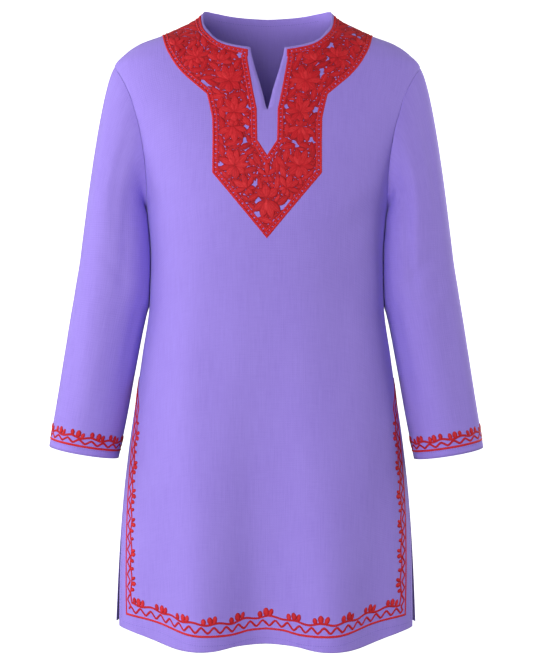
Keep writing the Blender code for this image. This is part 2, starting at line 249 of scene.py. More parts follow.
def bodyPoint(angle, z, face, lift=0.0):
    plain = bodyPlain(angle, z, face)
    n = outward(lambda a, b: bodyPlain(a, b, face), angle, z, -face)
    # 1 on the armhole's oval in the side view, more outside it
    oval = np.hypot((plain[..., 2] - armholeMiddle) / armholeHalf, plain[..., 1] / inMetres("armholeDepth"))
    fade = np.clip((oval - 1.0) / bodyForm["creaseFade"], 0.0, 1.0)
    rise = creases(plain[..., 0], plain[..., 2], creaseSet[faceName[face]]) * fade + lift
    return plain + n * rise[..., None]


def armholeAngle(reach, z, face):
    return np.arccos(np.clip(reach / faceDepth[face](z), 0.0, 1.0))


def armholeRing(turn):
    # The armhole is an oval seen from the side; turn runs from the shoulder to the front
    z = armholeMiddle + armholeHalf * np.cos(turn)
    reach = inMetres("armholeDepth") * np.abs(np.sin(turn))
    front = bodyPlain(armholeAngle(reach, z, -1), z, -1)
    back = bodyPlain(armholeAngle(reach, z, 1), z, 1)
    return np.where((np.sin(turn) >= 0)[..., None], front, back)


def sleeveLevel(turn, z):
    # Oval square to the sleeve's axis, pressed clear of the side of the body
    tilt = sleeveTilt(z) * 1000 * math.pi / 180      # the tables' curves give thousandths
    across = sleeveHalf(z) * np.cos(turn)
    forward = -sleeveDepth(z) * np.sin(turn)
    sag = np.clip(1 + (sleeveForm["cuff"] / 1000 - z) / (sleeveForm["sagHigh"] / 1000), 0.0, 1.0)
    sag = sag * sleeveForm["cuffSag"] / 1000 * np.sqrt(np.abs(np.sin(turn / 2)))
    height = z + across * np.sin(tilt) - sag
    depth = np.where(forward < 0, frontDepth(height), backDepth(height))
    side = halfWidth(height) * (1 - (forward / depth) ** 2) ** (1 / bodyForm["power"])
    x = np.maximum(sleeveCentre(z) + across * np.cos(tilt), side + sleeveForm["clearance"] / 1000)
    return np.stack([x, forward, height], axis=-1)


def sleevePlain(turn, down):
    # down is 0 to 1 from the armhole to the first level, a cubic blend that leaves the armhole
    # along the shoulder and arrives along the sleeve, then metres down the axis, plus 1
    top = sleeveForm["top"] / 1000
    z = top - np.maximum(down - 1.0, 0.0)
    level = sleeveLevel(turn, z)
    ring = armholeRing(turn)
    first = sleeveLevel(turn, np.full_like(turn, top))
    second = sleeveLevel(turn, np.full_like(turn, top - sleeveForm["levelStep"] / 1000))
    side, up = sleeveForm["leaveSide"], sleeveForm["leaveUp"]
    leave = np.stack([side[0] + side[1] * np.cos(turn), sleeveForm["leaveForward"] * np.sin(turn),
                      up[0] + up[1] * np.cos(turn) + up[2] * np.cos(2 * turn)], axis=-1)
    leave = leave / np.linalg.norm(leave, axis=-1, keepdims=True)
    arrive = second - first
    arrive = arrive / np.linalg.norm(arrive, axis=-1, keepdims=True)
    high = ((1 + np.cos(turn)) / 2)[..., None]
    least, more, power = sleeveForm["nearHandle"]
    near = ring + leave * (least / 1000 + more / 1000 * high ** power)
    least, more = sleeveForm["farHandle"]
    far = first - arrive * (least / 1000 + more / 1000 * high)
    t = np.clip(down, 0.0, 1.0)[..., None]
    head = ((1 - t) ** 3 * ring + 3 * t * (1 - t) ** 2 * near
            + 3 * t * t * (1 - t) * far + t ** 3 * first)
    return np.where((down > 1.0)[..., None], level, head)


def sleevePoint(turn, down, side, lift=0.0):
    turn, down = np.broadcast_arrays(np.asarray(turn, float), np.asarray(down, float))
    plain = sleevePlain(turn, down)
    n = outward(sleevePlain, turn, np.clip(down, 3e-4, None), 1)
    table = creaseSet["sleeve_left" if side > 0 else "sleeve_right"]
    # a degree counts as a millimetre, and creases start below the armhole's seam
    degrees = np.degrees(np.mod(turn, 2 * math.pi)) / 1000
    rise = creases(degrees, plain[..., 2], table) * np.clip(down * 3, 0, 1) + lift
    return (plain + n * rise[..., None]) * [side, 1, 1]


# Colours, as sRGB
colours = {
    "cottonPale": "#A892EF", "cotton": "#A28BEA", "cottonDeep": "#9A82E4",
    # the thread's pale and dark reds also serve as its lit and shaded colours: painted highlight and painted
    # shade
    "threadPaleAndLit": "#E6383E", "thread": "#CE1F2A", "threadDarkAndShaded": "#8C141F",
    # the stitches' colour is darkened with painted shade for their dimples and the turned edge's fold
    "stitch": "#7E69CC", "floor": "#F8F7F8",
}


def linear(name, alpha=1.0):
    text = colours[name].lstrip("#")
    parts = [int(text[k:k + 2], 16) / 255 for k in (0, 2, 4)]
    return tuple(c / 12.92 if c <= 0.04045 else ((c + 0.055) / 1.055) ** 2.4 for c in parts) + (alpha,)


def addNode(tree, kind, values=None, links=None, **settings):
    # values sets sockets, links joins sockets to other nodes' outputs, settings sets properties
    node = tree.nodes.new(kind)
    for key, value in settings.items():
        setattr(node, key, value)
    for key, value in (values or {}).items():
        node.inputs[key].default_value = value
    for key, output in (links or {}).items():
        tree.links.new(output, node.inputs[key])
    return node


def newMaterial(name):
    material = bpy.data.materials.new(name)
    material.use_nodes = True
    return material, material.node_tree, material.node_tree.nodes["Principled BSDF"]


# Woven cotton: matt, with a faint nap, fine plain weave and slubs that run up the cloth.
# Its threads lie about 0.45 mm apart; they are drawn 3 mm apart, so that a faint grain shows.
cottonSet = {
    "threadGap": 3.0,
    # millimetres across and up the cloth, detail, roughness; a weft's slubs run across
    "grains": {"slub": (1.7, 42.0, 3.0, 0.6), "weft": (25.2, 1.36, 2.0, 0.6),
               "patch": (60.0, 96.0, 2.0, 0.5)},
}


def cottonMaterial(s):
    material, tree, shader = newMaterial("wovenCotton")
    cloth = addNode(tree, "ShaderNodeUVMap", uv_map="cloth").outputs["UV"]
    grain = {}
    for name, (across, along, detail, roughness) in s["grains"].items():
        scaled = addNode(tree, "ShaderNodeMapping", {"Scale": (1000 / across, 1000 / along, 1.0)},
                         {"Vector": cloth})
        grain[name] = addNode(tree, "ShaderNodeTexNoise",
                              {"Scale": 1.0, "Detail": detail, "Roughness": roughness},
                              {"Vector": scaled.outputs[0]}).outputs["Fac"]
    turns = 2 * math.pi / 20 / (s["threadGap"] / 1000)       # the texture has 20 radians a unit
    warp, pick = [addNode(tree, "ShaderNodeTexWave", {"Scale": turns, "Distortion": 0.6, "Detail": 1.0},
                          {"Vector": cloth}, wave_type="BANDS", bands_direction=way) for way in "XY"]
    weave = addNode(tree, "ShaderNodeMath", None, {0: warp.outputs["Fac"], 1: pick.outputs["Fac"]},
                    operation="MULTIPLY")
    faint = addNode(tree, "ShaderNodeMath", {1: 0.42}, {0: grain["weft"]}, operation="MULTIPLY")
    streak = addNode(tree, "ShaderNodeMath", {1: 0.72},
                     {0: grain["slub"], 2: faint.outputs[0]}, operation="MULTIPLY_ADD")
    tone = addNode(tree, "ShaderNodeMath", {1: 0.25},
                   {0: grain["patch"], 2: streak.outputs[0]}, operation="MULTIPLY_ADD")
    ramp = addNode(tree, "ShaderNodeValToRGB", None, {"Fac": tone.outputs[0]})
    stops = ramp.color_ramp.elements
    stops[0].position, stops[0].color = 0.40, linear("cottonDeep")
    stops[1].position, stops[1].color = 0.98, linear("cottonPale")
    middle = stops.new(0.69)
    middle.color = linear("cotton")
    tree.links.new(ramp.outputs["Color"], shader.inputs["Base Color"])
    height = addNode(tree, "ShaderNodeMath", {1: 1.4},
                     {0: streak.outputs[0], 2: weave.outputs[0]}, operation="MULTIPLY_ADD")
    bump = addNode(tree, "ShaderNodeBump", {"Strength": 0.30, "Distance": 0.0004},
                   {"Height": height.outputs[0]})
    tree.links.new(bump.outputs["Normal"], shader.inputs["Normal"])
    shader.inputs["Roughness"].default_value = 0.88
    shader.inputs["Specular IOR Level"].default_value = 0.22
    shader.inputs["Sheen Weight"].default_value = 0.22
    shader.inputs["Sheen Roughness"].default_value = 0.45
    return material


# Embroidery thread: soft mercerised cotton with a low lustre; the tone attribute lightens each stitch's top
# with a painted highlight and darkens the pads' edges with painted shade
def threadMaterial():
    material, tree, shader = newMaterial("embroideryThread")
    tone = addNode(tree, "ShaderNodeAttribute", attribute_name="tone")
    place = addNode(tree, "ShaderNodeTexCoord")
    fluff = addNode(tree, "ShaderNodeTexNoise", {"Scale": 420.0, "Detail": 3.0},
                    {"Vector": place.outputs["Object"]})
    mixed = addNode(tree, "ShaderNodeMath", {1: 0.45},
                    {0: fluff.outputs["Fac"], 2: tone.outputs["Fac"]}, operation="MULTIPLY_ADD")
    # the ramp turns the tone, painted highlight and painted shade included, into colour: from the dark and
    # shaded red through the mid red to the pale and lit red
    ramp = addNode(tree, "ShaderNodeValToRGB", None, {"Fac": mixed.outputs[0]})
    stops = ramp.color_ramp.elements
    stops[0].position, stops[0].color = 0.25, linear("threadDarkAndShaded")
    stops[1].position, stops[1].color = 1.0, linear("threadPaleAndLit")
    middle = stops.new(0.68)
    middle.color = linear("thread")
    tree.links.new(ramp.outputs["Color"], shader.inputs["Base Color"])
    ply = addNode(tree, "ShaderNodeTexNoise", {"Scale": 1500.0, "Detail": 2.0},
                  {"Vector": place.outputs["Object"]})
    bump = addNode(tree, "ShaderNodeBump", {"Strength": 0.35, "Distance": 0.0003},
                   {"Height": ply.outputs["Fac"]})
    tree.links.new(bump.outputs["Normal"], shader.inputs["Normal"])
    shader.inputs["Roughness"].default_value = 0.62
    shader.inputs["Specular IOR Level"].default_value = 0.20
    shader.inputs["Sheen Weight"].default_value = 0.04
    return material


# Sewing thread of the turned hems, darker than the cloth: partly its own colour and partly painted shade for
# the dimples of the stitches and the fold of the turned edge
def stitchMaterial():
    material, tree, shader = newMaterial("sewingThread")
    place = addNode(tree, "ShaderNodeTexCoord")
    ply = addNode(tree, "ShaderNodeTexNoise", {"Scale": 900.0, "Detail": 2.0},
                  {"Vector": place.outputs["Object"]})
    bump = addNode(tree, "ShaderNodeBump", {"Strength": 0.3, "Distance": 0.0002},
                   {"Height": ply.outputs["Fac"]})
    tree.links.new(bump.outputs["Normal"], shader.inputs["Normal"])
    shader.inputs["Base Color"].default_value = linear("stitch")
    shader.inputs["Roughness"].default_value = 0.7
    return material


cotton = cottonMaterial(cottonSet)
thread = threadMaterial()
sewing = stitchMaterial()
print("materials made")


def newPiece(name, points, faces, material, uv=None, tone=None):
    mesh = bpy.data.meshes.new(name)
    mesh.from_pydata(points.reshape(-1, 3).tolist(), [], faces.tolist())
    mesh.polygons.foreach_set("use_smooth", np.ones(len(mesh.polygons), bool))
    if uv is not None:
        layer = mesh.uv_layers.new(name="cloth")
        corner = np.empty(len(mesh.loops), np.int32)
        mesh.loops.foreach_get("vertex_index", corner)
        layer.data.foreach_set("uv", uv.reshape(-1, 2)[corner].ravel())
    # the tone holds the thread's own tone with painted shade and painted highlight added
    if tone is not None:
        mesh.attributes.new("tone", "FLOAT", "POINT").data.foreach_set("value", tone.ravel())
    mesh.materials.append(material)
    mesh.update()
    piece = bpy.data.objects.new(name, mesh)
    bpy.context.scene.collection.objects.link(piece)
    return piece


def gridFaces(shape, start=0, flip=False, roundAbout=False):
    # Quads of a grid of point numbers, rows by columns
    index = np.arange(shape[0] * shape[1]).reshape(shape) + start
    if roundAbout:
        index = np.concatenate([index, index[:, :1]], axis=1)
    quads = np.stack([index[:-1, :-1], index[:-1, 1:], index[1:, 1:], index[1:, :-1]], -1).reshape(-1, 4)
    return quads[:, ::-1] if flip else quads


def mergeDoubles(piece):
    # Joins points in one place: a panel's two halves along the middle line, or the rings at a pole
    work = bmesh.new()
    work.from_mesh(piece.data)
    bmesh.ops.remove_doubles(work, verts=work.verts, dist=2e-5)
    work.to_mesh(piece.data)
    work.free()


def standFor(piece, node=None):
    # Each piece rides on the one body, and may stand for a solid
    if node:
        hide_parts(node)
    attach(piece, "root")


def thicken(piece, depth):
    wall = piece.modifiers.new("clothThickness", "SOLIDIFY")
    wall.thickness = depth
    wall.offset = -1.0


# Front and back panels, in millimetres: edge is the middle line, neck slit and neckline,
# as row, distance from the middle and height; rows run from the hem to the shoulder seam
panelSet = {
    "front": {
        "face": -1, "joined": 25, "corners": (1, 20, 25, 28),
        "edge": [
            (0, 0.0, -874.0), (1, 0.0, -864.0), (20, 0.0, -326.6), (25, 0.0, -155.0), (26, 8.0, -124.0),
            (27, 17.0, -93.0), (28, 23.2, -63.4), (29, 43.0, -60.0), (30, 63.0, -53.7), (31, 78.0, -41.0),
            (32, 87.5, -26.5), (33, 90.6, -11.0), (34, 95.0, 1.2),
        ],
        "hem": [(0.0, -874.0), (0.10, -875.7), (0.15, -878.2), (0.204, -880.1), (0.28, -880.7),
                (0.36, -880.5), (0.41, -879.9), (0.464, -878.4), (0.551, -874.8), (0.678, -869.6),
                (0.823, -865.6), (1.0, -863.4)],
    },
    "back": {
        "face": 1, "joined": 28, "corners": (1, 20, 28),
        "edge": [
            (0, 0.0, -878.0), (1, 0.0, -868.0), (20, 0.0, -250.0), (28, 0.0, 0.5), (29, 22.0, 1.3),
            (30, 42.0, 2.3), (31, 59.0, 3.5), (32, 73.0, 4.5), (33, 83.5, 4.2), (34, 95.0, 1.2),
        ],
        "hem": [(0.0, -878.0), (0.3, -879.6), (0.46, -878.0), (0.66, -871.5), (0.82, -867.6), (1.0, -866.6)],
    },
    "underarmRow": 20, "topRow": 34, "foldRow": 1, "foldHigh": 10.0,
    "lowerRows": 150, "upperRows": 84, "columns": 74, "thickness": 0.7,
    # length that the cloth gains where it slopes, as a share of its depth, for the weave's map
    "slope": 0.6,
    # a seam is a fine dip; columns crowd towards it; the hem's curve dies out over some rows
    "seamDip": 0.15, "seamWide": 2.2, "crowd": 0.10, "hemRows": 4, "hemPower": 1.5,
    # how a row bends from the side to the middle: row, power
    "bends": [(0, 1.0), (12, 2.2), (20, 2.2), (27, 1.0), (34, 1.0)],
}


def brokenCurve(rows, table, corners, column):
    # Smooth between corner rows and free to turn sharply at them
    stops = [table[0][0], *corners, table[-1][0]]
    out = np.zeros(len(rows))
    for low, high in zip(stops[:-1], stops[1:]):
        part = [row for row in table if low <= row[0] <= high]
        inside = (rows >= low) & (rows <= high)
        out[inside] = smoothCurve([row[0] for row in part], [row[column] for row in part])(rows[inside])
    return out


def edgeLines(s, name):
    # Angle and height along the inner and the outer edge of a half panel, row by row
    own = s[name]
    under, top = s["underarmRow"], s["topRow"]
    rows = np.concatenate([np.linspace(0, under, s["lowerRows"] + 1),
                           np.linspace(under, top, s["upperRows"] + 1)[1:]])
    table = [(row[0], float(angleAt(row[1] / 1000, row[2] / 1000)), row[2] / 1000) for row in own["edge"]]
    inner = [brokenCurve(rows, table, own["corners"], k) for k in (1, 2)]
    below = np.interp(rows, [0, s["foldRow"], under],
                      [inMetres("hemSide"), inMetres("hemSide") + s["foldHigh"] / 1000, inMetres("underarm")])
    turn = np.clip((rows - under) / (top - under), 0, 1) * math.pi
    z = np.where(rows < under, below, armholeMiddle - armholeHalf * np.cos(turn))
    reach = np.where(rows < under, slitOpening(own["face"]) * slitShare(below),
                     inMetres("armholeDepth") * np.sin(turn))
    return rows, inner, [armholeAngle(reach, z, own["face"]), z]


def makePanel(s, name):
    own = s[name]
    face = own["face"]
    rows, inner, outer = edgeLines(s, name)
    share = np.linspace(0, 1, s["columns"] + 1)
    share = share + s["crowd"] * np.sin(share * math.pi) * share
    bend = np.interp(rows, *zip(*s["bends"]))[:, None]
    angle = inner[0][:, None] + (outer[0] - inner[0])[:, None] * share
    z = outer[1][:, None] + (inner[1] - outer[1])[:, None] * (1 - share) ** bend
    plainHem = inner[1][0] + (outer[1][0] - inner[1][0]) * share
    drop = smoothCurve(*zip(*own["hem"]))(share) / 1000 - plainHem
    z = z + drop * np.clip(1 - rows / s["hemRows"], 0, 1)[:, None] ** s["hemPower"]
    flat = bodyPlain(angle, z, face)
    gap = np.linalg.norm(flat - flat[:, -1:], axis=-1)
    gap = np.minimum(gap, np.linalg.norm(flat - flat[-1:, :], axis=-1))
    sewn = np.where(z > inMetres("slitTop"), 1.0, 0.0)
    dip = -s["seamDip"] / 1000 * bell(gap, s["seamWide"]) * sewn
    across = lengthsAlong(flat)
    points, uvs, faces = [], [], []
    for side in (1, -1):
        points.append(bodyPoint(angle * side, z, face, dip))
        uvs.append(np.stack([across * side + flat[:, :1, 0] * side,
                             z - face * s["slope"] * flat[..., 1]], -1))
        start = 0 if side > 0 else z.size
        faces.append(gridFaces(z.shape, start, (side > 0) == (face > 0)))
    points[0][rows <= own["joined"], 0, 0] = 0.0
    points[1][rows <= own["joined"], 0] = points[0][rows <= own["joined"], 0]
    piece = newPiece(name + "Cloth", np.concatenate(points), np.concatenate(faces), cotton,
                     uv=np.concatenate(uvs))
    mergeDoubles(piece)
    thicken(piece, s["thickness"] / 1000)
    standFor(piece, name)
    return piece


frontCloth = makePanel(panelSet, "front")
backCloth = makePanel(panelSet, "back")
print("front and back made")

# Sleeves: points round and along, millimetres of the cloth and its seams, share of the dip that the
# underarm seam has, and width of a sleeve in the weave's map in metres
sleeveSet = {"round": 96, "headRows": 54, "lowerRows": 92, "thickness": 0.7, "seamDip": 0.12,
             "seamWide": 2.2, "underarmDip": 0.5, "girth": 0.32}


def makeSleeve(s, name, side):
    turn = np.arange(s["round"]) * 2 * math.pi / s["round"]
    long = (sleeveForm["top"] - sleeveForm["cuff"]) / 1000
    down = np.concatenate([np.linspace(0, 1, s["headRows"] + 1),
                           1 + np.linspace(0, long, s["lowerRows"] + 1)[1:]])
    turns, downs = np.meshgrid(turn, down)
    flat = sleevePlain(turns, downs)
    gap = np.linalg.norm(flat - flat[:1], axis=-1)
    seam = np.linalg.norm(flat - flat[:, s["round"] // 2][:, None], axis=-1)
    dip = bell(gap, s["seamWide"]) + s["underarmDip"] * bell(seam, s["seamWide"])
    dip = -s["seamDip"] / 1000 * dip
    points = sleevePoint(turns, downs, side, dip)
    along = lengthsAlong(flat[:, 0])[:, None]
    girth = s["girth"]
    uv = np.stack([turns / (2 * math.pi) * girth, np.broadcast_to(-along, turns.shape)], -1)
    piece = newPiece(name + "Cloth", points, gridFaces(turns.shape, 0, side < 0, True), cotton, uv=uv)
    # the faces that close the tube run on past its girth in the weave's map
    layer = piece.data.uv_layers["cloth"].data
    u = np.empty(len(layer) * 2, np.float32)
    layer.foreach_get("uv", u)
    u = u.reshape(-1, 4, 2)
    wrapped = u[:, :, 0].max(axis=1) - u[:, :, 0].min(axis=1) > girth / 2
    u[wrapped, :, 0] = np.where(u[wrapped, :, 0] < girth / 2, u[wrapped, :, 0] + girth, u[wrapped, :, 0])
    layer.foreach_set("uv", u.ravel())
    thicken(piece, s["thickness"] / 1000)
    standFor(piece, name)
    return piece


leftSleeve = makeSleeve(sleeveSet, "sleeve_left", 1)
rightSleeve = makeSleeve(sleeveSet, "sleeve_right", -1)
print("sleeves made")

# Charts: each takes flat places (u, v), in metres along the cloth, and a lift off it, and gives
# points in space. Embroidery and stitches are drawn in these charts.
yokeChart = {"side": 0.153, "low": -0.345, "columns": 154, "rows": 420, "high": 0.46, "cell": 0.001,
             "shoulder": (-0.100, 0.008, 800)}
skirtChart = {"low": -0.885, "high": -0.470, "levels": 84, "shares": 161, "hemLevel": 2}


def makeYokeChart(s):
    # u is the distance from the middle, v the length of the upright section from the low line
    xs = np.linspace(0, s["side"], s["columns"])
    heights = np.linspace(*s["shoulder"])
    tops = np.interp(xs, halfWidth(heights)[::-1], heights[::-1])
    r = np.linspace(1, 0, s["rows"])
    z = tops[:, None] - (tops[:, None] - s["low"]) * r ** 2
    share = np.clip(xs[:, None] / halfWidth(z), 0, 1) ** bodyForm["power"]
    y = frontDepth(z) * np.sqrt(np.clip(1 - share, 0, 1))
    step = np.hypot(np.diff(y, axis=1), np.diff(z, axis=1))
    v = np.concatenate([np.zeros((len(xs), 1)), np.cumsum(step, axis=1)], axis=1)
    vs = np.arange(0, s["high"], s["cell"])
    table = np.stack([np.interp(vs, v[i], z[i]) for i in range(len(xs))])
    return xs, z, v, vs, table


chartXs, chartZ, chartV, chartVs, chartTable = makeYokeChart(yokeChart)


def chartUp(x, z):
    # Length up the section to the place at x and height z
    i = min(int(round(abs(x) / chartXs[1])), len(chartXs) - 1)
    return float(np.interp(z, chartZ[i], chartV[i]))


def yokePlace(u, v, lift=0.0):
    a = np.clip(np.abs(u) / chartXs[1], 0, len(chartXs) - 1.001)
    b = np.clip(v / yokeChart["cell"], 0, len(chartVs) - 1.001)
    i, j = a.astype(int), b.astype(int)
    a, b = a - i, b - j
    z = ((chartTable[i, j] * (1 - a) + chartTable[i + 1, j] * a) * (1 - b)
         + (chartTable[i, j + 1] * (1 - a) + chartTable[i + 1, j + 1] * a) * b)
    angle = angleAt(u, z) * np.where(u < 0, -1.0, 1.0)
    return bodyPoint(angle, z, -1, lift)


def edgeAngleAt(z, face):
    return armholeAngle(slitOpening(face) * slitShare(z), z, face)


def makeSkirtTable(s, face):
    # For heights of the skirt: the angles, and the lengths across from the middle to them
    heights = np.linspace(s["low"], s["high"], s["levels"])
    shares = np.linspace(0, 1, s["shares"])
    angle = edgeAngleAt(heights, face)[:, None] * shares
    points = bodyPlain(angle, np.broadcast_to(heights[:, None], angle.shape), face)
    return heights, angle, lengthsAlong(points)


skirtTables = {face: makeSkirtTable(skirtChart, face) for face in (-1, 1)}


def angleAcross(across, z, face, fromEdge=False):
    # Angle at a length across from the middle, or from the slit edge, at height z
    heights, angles, lengths = skirtTables[face]
    across, z = np.broadcast_arrays(across, z)
    row = np.clip((z - heights[0]) / (heights[1] - heights[0]), 0, len(heights) - 1.001)
    low = row.astype(int)
    part = row - low
    out = np.empty(across.shape)
    flatA, flatL, flatP, flatO = across.ravel(), low.ravel(), part.ravel(), out.ravel()
    for level in np.unique(flatL):
        pick = flatL == level
        ends = []
        for k in (level, level + 1):
            want = lengths[k, -1] - flatA[pick] if fromEdge else flatA[pick]
            ends.append(np.interp(want, lengths[k], angles[k]))
        flatO[pick] = ends[0] * (1 - flatP[pick]) + ends[1] * flatP[pick]
    return flatO.reshape(across.shape)


def hemPlace(face):
    # u runs along the hem from the middle, v up from the hem's edge
    shares, drops = zip(*panelSet[faceName[face]]["hem"])
    hemCurve = smoothCurve(shares, drops)
    length = skirtTables[face][2][skirtChart["hemLevel"], -1]

    def place(u, v, lift=0.0):
        z = hemCurve(np.clip(np.abs(u) / length, 0, 1)) / 1000 + v
        angle = angleAcross(np.abs(u), z, face) * np.where(u < 0, -1.0, 1.0)
        return bodyPoint(angle, z, face, lift)
    return place, length


def slitPlace(face, side):
    # u is the length from the slit edge towards the middle, v the height
    def place(u, v, lift=0.0):
        angle = angleAcross(u, v, face, fromEdge=True) * side
        return bodyPoint(angle, v, face, lift)
    return place


cuffGirth = sleeveForm["girth"] / 1000


def cuffPlace(side):
    # u runs round the cuff, v up from its edge
    def place(u, v, lift=0.0):
        down = 1.0 + (sleeveForm["top"] - sleeveForm["cuff"]) / 1000 - v
        return sleevePoint(u / cuffGirth * 2 * math.pi, down, side, lift)
    return place


def addThread(store, place, u, v, lift, tone):
    # u, v, lift and tone are stacks of grids; the winding is set so that faces look outward
    points = place(u, v, lift)
    n, rows, cols = u.shape
    k, i, j = n // 2, rows // 2, cols // 2
    spot = u[k, i, j][None], v[k, i, j][None]
    up = (place(*spot, 0.002) - place(*spot, 0.0))[0]
    turn = np.cross(points[k, i, j] - points[k, i, j - 1], points[k, i, j] - points[k, i - 1, j])
    one = gridFaces((rows, cols), 0, float(turn @ up) < 0)
    store.append((points.reshape(-1, 3), np.broadcast_to(tone, u.shape).ravel(),
                  (one[None] + np.arange(n)[:, None, None] * rows * cols).reshape(-1, 4)))


def bindThreads(name, store, material):
    points, tones, quads = zip(*store)
    starts = np.cumsum([0] + [len(part) for part in points])
    faces = [part + start for part, start in zip(quads, starts)]
    return newPiece(name, np.concatenate(points), np.concatenate(faces), material,
                    tone=np.concatenate(tones))


def placesAt(path, at, curve=None):
    # Places at lengths along a path of straight runs, or of the kind of curve that is given
    run = lengthsAlong(path)
    ways = [curve(run, path[:, k])(at) if curve else np.interp(at, run, path[:, k]) for k in (0, 1)]
    return np.stack(ways, -1)


def evenSteps(path, step):
    # Lengths along a path at equal steps, both its ends among them
    whole = lengthsAlong(path)[-1]
    return np.linspace(0, whole, max(int(round(whole / step)), 2) + 1)


def evenPath(path, step):
    return placesAt(path, evenSteps(path, step))


def roundedPath(parts, step):
    # Each part is a smooth curve through its points; parts meet at corners
    out = []
    for part in parts:
        part = np.asarray(part, float)
        out.append(placesAt(part, evenSteps(part, step), smoothCurve if len(part) > 2 else None))
    return np.concatenate([out[0]] + [part[1:] for part in out[1:]])


def pathNormals(path):
    # Sideways direction at each point, longer at a corner, so that a line set off there stays even
    ahead = np.diff(path, axis=0)
    ahead = ahead / np.linalg.norm(ahead, axis=1, keepdims=True)
    before, after = np.concatenate([ahead[:1], ahead]), np.concatenate([ahead, ahead[-1:]])
    both = before + after
    both = both / np.maximum(np.linalg.norm(both, axis=1, keepdims=True), 1e-9)
    cosine = np.clip((both * after).sum(axis=1, keepdims=True), 0.45, 1.0)
    return np.stack([-both[:, 1], both[:, 0]], -1) / cosine


def marksAlong(path, at):
    # Places at lengths along a path, unit steps on from them, and their turn from up, in degrees
    here = placesAt(path, at)
    ahead = placesAt(path, at + 0.001) - here
    turn = np.degrees(np.arctan2(ahead[:, 0], ahead[:, 1]))
    return here, ahead / np.linalg.norm(ahead, axis=1, keepdims=True), turn


# A cord of chain stitch, in millimetres: length of a link, share of the width and of the rise that is
# left at its pinched end, how far its edge sinks, and how much painted shade darkens the pinch and the edge
cordSet = {"link": 3.0, "pinchWide": 0.80, "pinchRise": 0.70, "sink": 0.15, "pinchShade": 0.22,
           "edgeShade": 0.30}


def addCord(store, place, path, half, rise, tone, across=5):
    s = cordSet
    pulse = np.abs(np.sin(lengthsAlong(path) / (s["link"] / 1000) * math.pi))[:, None]
    w = np.linspace(-1, 1, across)
    normal = pathNormals(path)
    wide = half / 1000 * (s["pinchWide"] + (1 - s["pinchWide"]) * pulse)
    u = path[:, :1] + normal[:, :1] * w * wide
    v = path[:, 1:] + normal[:, 1:] * w * wide
    tall = rise * (s["pinchRise"] + (1 - s["pinchRise"]) * pulse)
    lift = (tall * np.sqrt(1 - w * w) - s["sink"] * w * w) / 1000
    # painted shade darkens each link's pinch and the cord's edges
    shade = tone - s["pinchShade"] * (1 - pulse) - s["edgeShade"] * w ** 4
    addThread(store, place, u[None], v[None], np.broadcast_to(lift, u.shape)[None],
              np.broadcast_to(shade, u.shape)[None])


def padHalf(t, sharp, fat):
    # Half width of a pad along its length, as a share: a small sharp blunts its ends, fat moves its
    # widest place
    return np.sin(math.pi * np.clip(t, 0, 1) ** fat) ** sharp


# Satin-stitched pads. Each row of the table: u, v, direction in degrees from up towards +u,
# length, width and sideways bend in mm, rise in mm, tone, lift of its foot in mm
def addPads(store, place, table, rows, cols, threads, sharp=0.75, fat=1.0):
    table = np.asarray(table, float)
    u0, v0, turn, long, wide, bend, rise, tone, foot = [table[:, k, None, None] for k in range(9)]
    t = (0.5 - 0.5 * np.cos(np.linspace(0, math.pi, rows)))[None, :, None]
    w = np.linspace(-1, 1, cols)[None, None, :]
    half = wide / 2 * np.maximum(padHalf(t, sharp, fat), 0.04)
    forward = t * long
    aside = w * half + bend * np.sin(t * math.pi / 2) ** 2
    angle = np.radians(turn)
    u = u0 + (forward * np.sin(angle) - aside * np.cos(angle)) / 1000
    v = v0 + (forward * np.cos(angle) + aside * np.sin(angle)) / 1000
    ridge = np.cos(w * threads * math.pi)
    dome = (1 - w * w) ** 0.55 * (0.35 + 0.65 * np.sin(math.pi * np.clip(t, 0.02, 0.98)) ** 0.6)
    lift = (foot * (1 - w ** 6) + rise * dome + 0.07 * ridge * (1 - w ** 4) - 0.20 * w ** 6) / 1000
    # colour: the pad's own tone, with a painted highlight along each thread's ridge and painted shade at its
    # sides, its foot and its tip
    shade = (tone + 0.11 * ridge * (1 - w * w) - 0.70 * np.abs(w) ** 5
             - 0.26 * (1 - t) ** 5 - 0.18 * t ** 9)
    addThread(store, place, u, v, lift, shade)


def equalPads(foot, turn, *same):
    # Rows for addPads that differ only in place and direction
    ones = np.ones(len(turn))
    return np.stack([foot[:, 0], foot[:, 1], turn, *(value * ones for value in same)], 1)


